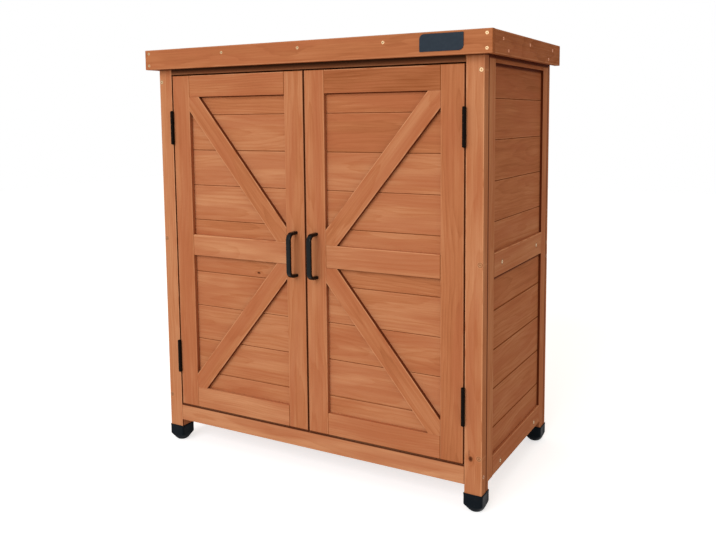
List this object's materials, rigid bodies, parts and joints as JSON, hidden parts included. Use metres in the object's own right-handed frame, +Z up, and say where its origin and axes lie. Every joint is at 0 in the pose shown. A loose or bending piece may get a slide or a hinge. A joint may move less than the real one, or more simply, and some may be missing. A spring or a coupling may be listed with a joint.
{
  "type": "garden storage cabinet",
  "caption": "Flat-roofed wooden garden cabinet on short legs with plastic foot caps, framed and braced double doors on butt hinges, and a shelf inside.",
  "frame": {"origin": "on the ground, in the middle of the overall box in width and depth, feet and handles included", "axes": "+X to the right as seen from in front of the doors, +Y from the doors towards the back panel, +Z up"},
  "size_m": [0.87, 0.478, 0.965],
  "materials": {
    "stained_wood": "transparent red-brown stain, satin",
    "inner_wood": "transparent red-brown stain, matt",
    "black_hardware": "black powder coat, satin",
    "foot_plastic": "moulded, fine texture",
    "screw_zinc": "yellow zinc plate",
    "bright_steel": "zinc plate",
    "roof_zinc": "galvanised sheet, dull",
    "plate_navy": "dark navy lacquer, satin, bare",
    "magnet_case": "brown moulding"
  },
  "bodies": {
    "cabinet": {"back_boards": "stained_wood", "back_rails": "stained_wood", "badge_plate": "plate_navy", "catch_magnets": "magnet_case", "fascia_screws": "screw_zinc", "floor_bearers": "inner_wood", "floor_boards": "inner_wood", "foot_caps": "foot_plastic", "front_bottom_rail": "stained_wood", "front_fascia": "stained_wood", "front_top_rail": "stained_wood", "hinge_pins": "black_hardware", "hinge_post_leaves": "black_hardware", "hinge_post_screws": "black_hardware", "left_front_post": "stained_wood", "left_rear_post": "stained_wood", "left_side_boards": "stained_wood", "left_side_bottom_rail": "stained_wood", "left_side_middle_rail": "stained_wood", "left_side_stiles": "stained_wood", "left_side_top_rail": "stained_wood", "post_screws": "screw_zinc", "right_front_post": "stained_wood", "right_rear_post": "stained_wood", "right_side_boards": "stained_wood", "right_side_bottom_rail": "stained_wood", "right_side_middle_rail": "stained_wood", "right_side_stiles": "stained_wood", "right_side_top_rail": "stained_wood", "roof_battens": "inner_wood", "roof_boards": "inner_wood", "roof_sheet": "roof_zinc", "shelf_bearers": "inner_wood", "shelf_boards": "inner_wood", "side_fascias": "stained_wood", "side_screws": "screw_zinc"},
    "left_door": {"left_door_boards": "stained_wood", "left_door_braces": "stained_wood", "left_door_end_rails": "stained_wood", "left_door_handle": "black_hardware", "left_door_handle_screws": "bright_steel", "left_door_hinge_leaves": "black_hardware", "left_door_hinge_screws": "black_hardware", "left_door_inner_stile": "stained_wood", "left_door_middle_rail": "stained_wood", "left_door_outer_stile": "stained_wood", "left_door_strike_plate": "bright_steel"},
    "right_door": {"right_door_boards": "stained_wood", "right_door_braces": "stained_wood", "right_door_end_rails": "stained_wood", "right_door_handle": "black_hardware", "right_door_handle_screws": "bright_steel", "right_door_hinge_leaves": "black_hardware", "right_door_hinge_screws": "black_hardware", "right_door_inner_stile": "stained_wood", "right_door_middle_rail": "stained_wood", "right_door_outer_stile": "stained_wood", "right_door_strike_plate": "bright_steel"}
  },
  "joints": [
    {"name": "left_door_hinge", "type": "hinge", "parent": "cabinet", "child": "left_door", "pos_m": [-0.3725, -0.2115, 0.501], "axis": [0, 0, -1], "range_deg": [0, 175]},
    {"name": "right_door_hinge", "type": "hinge", "parent": "cabinet", "child": "right_door", "pos_m": [0.3725, -0.2115, 0.501], "axis": [0, 0, 1], "range_deg": [0, 175]}
  ]
}
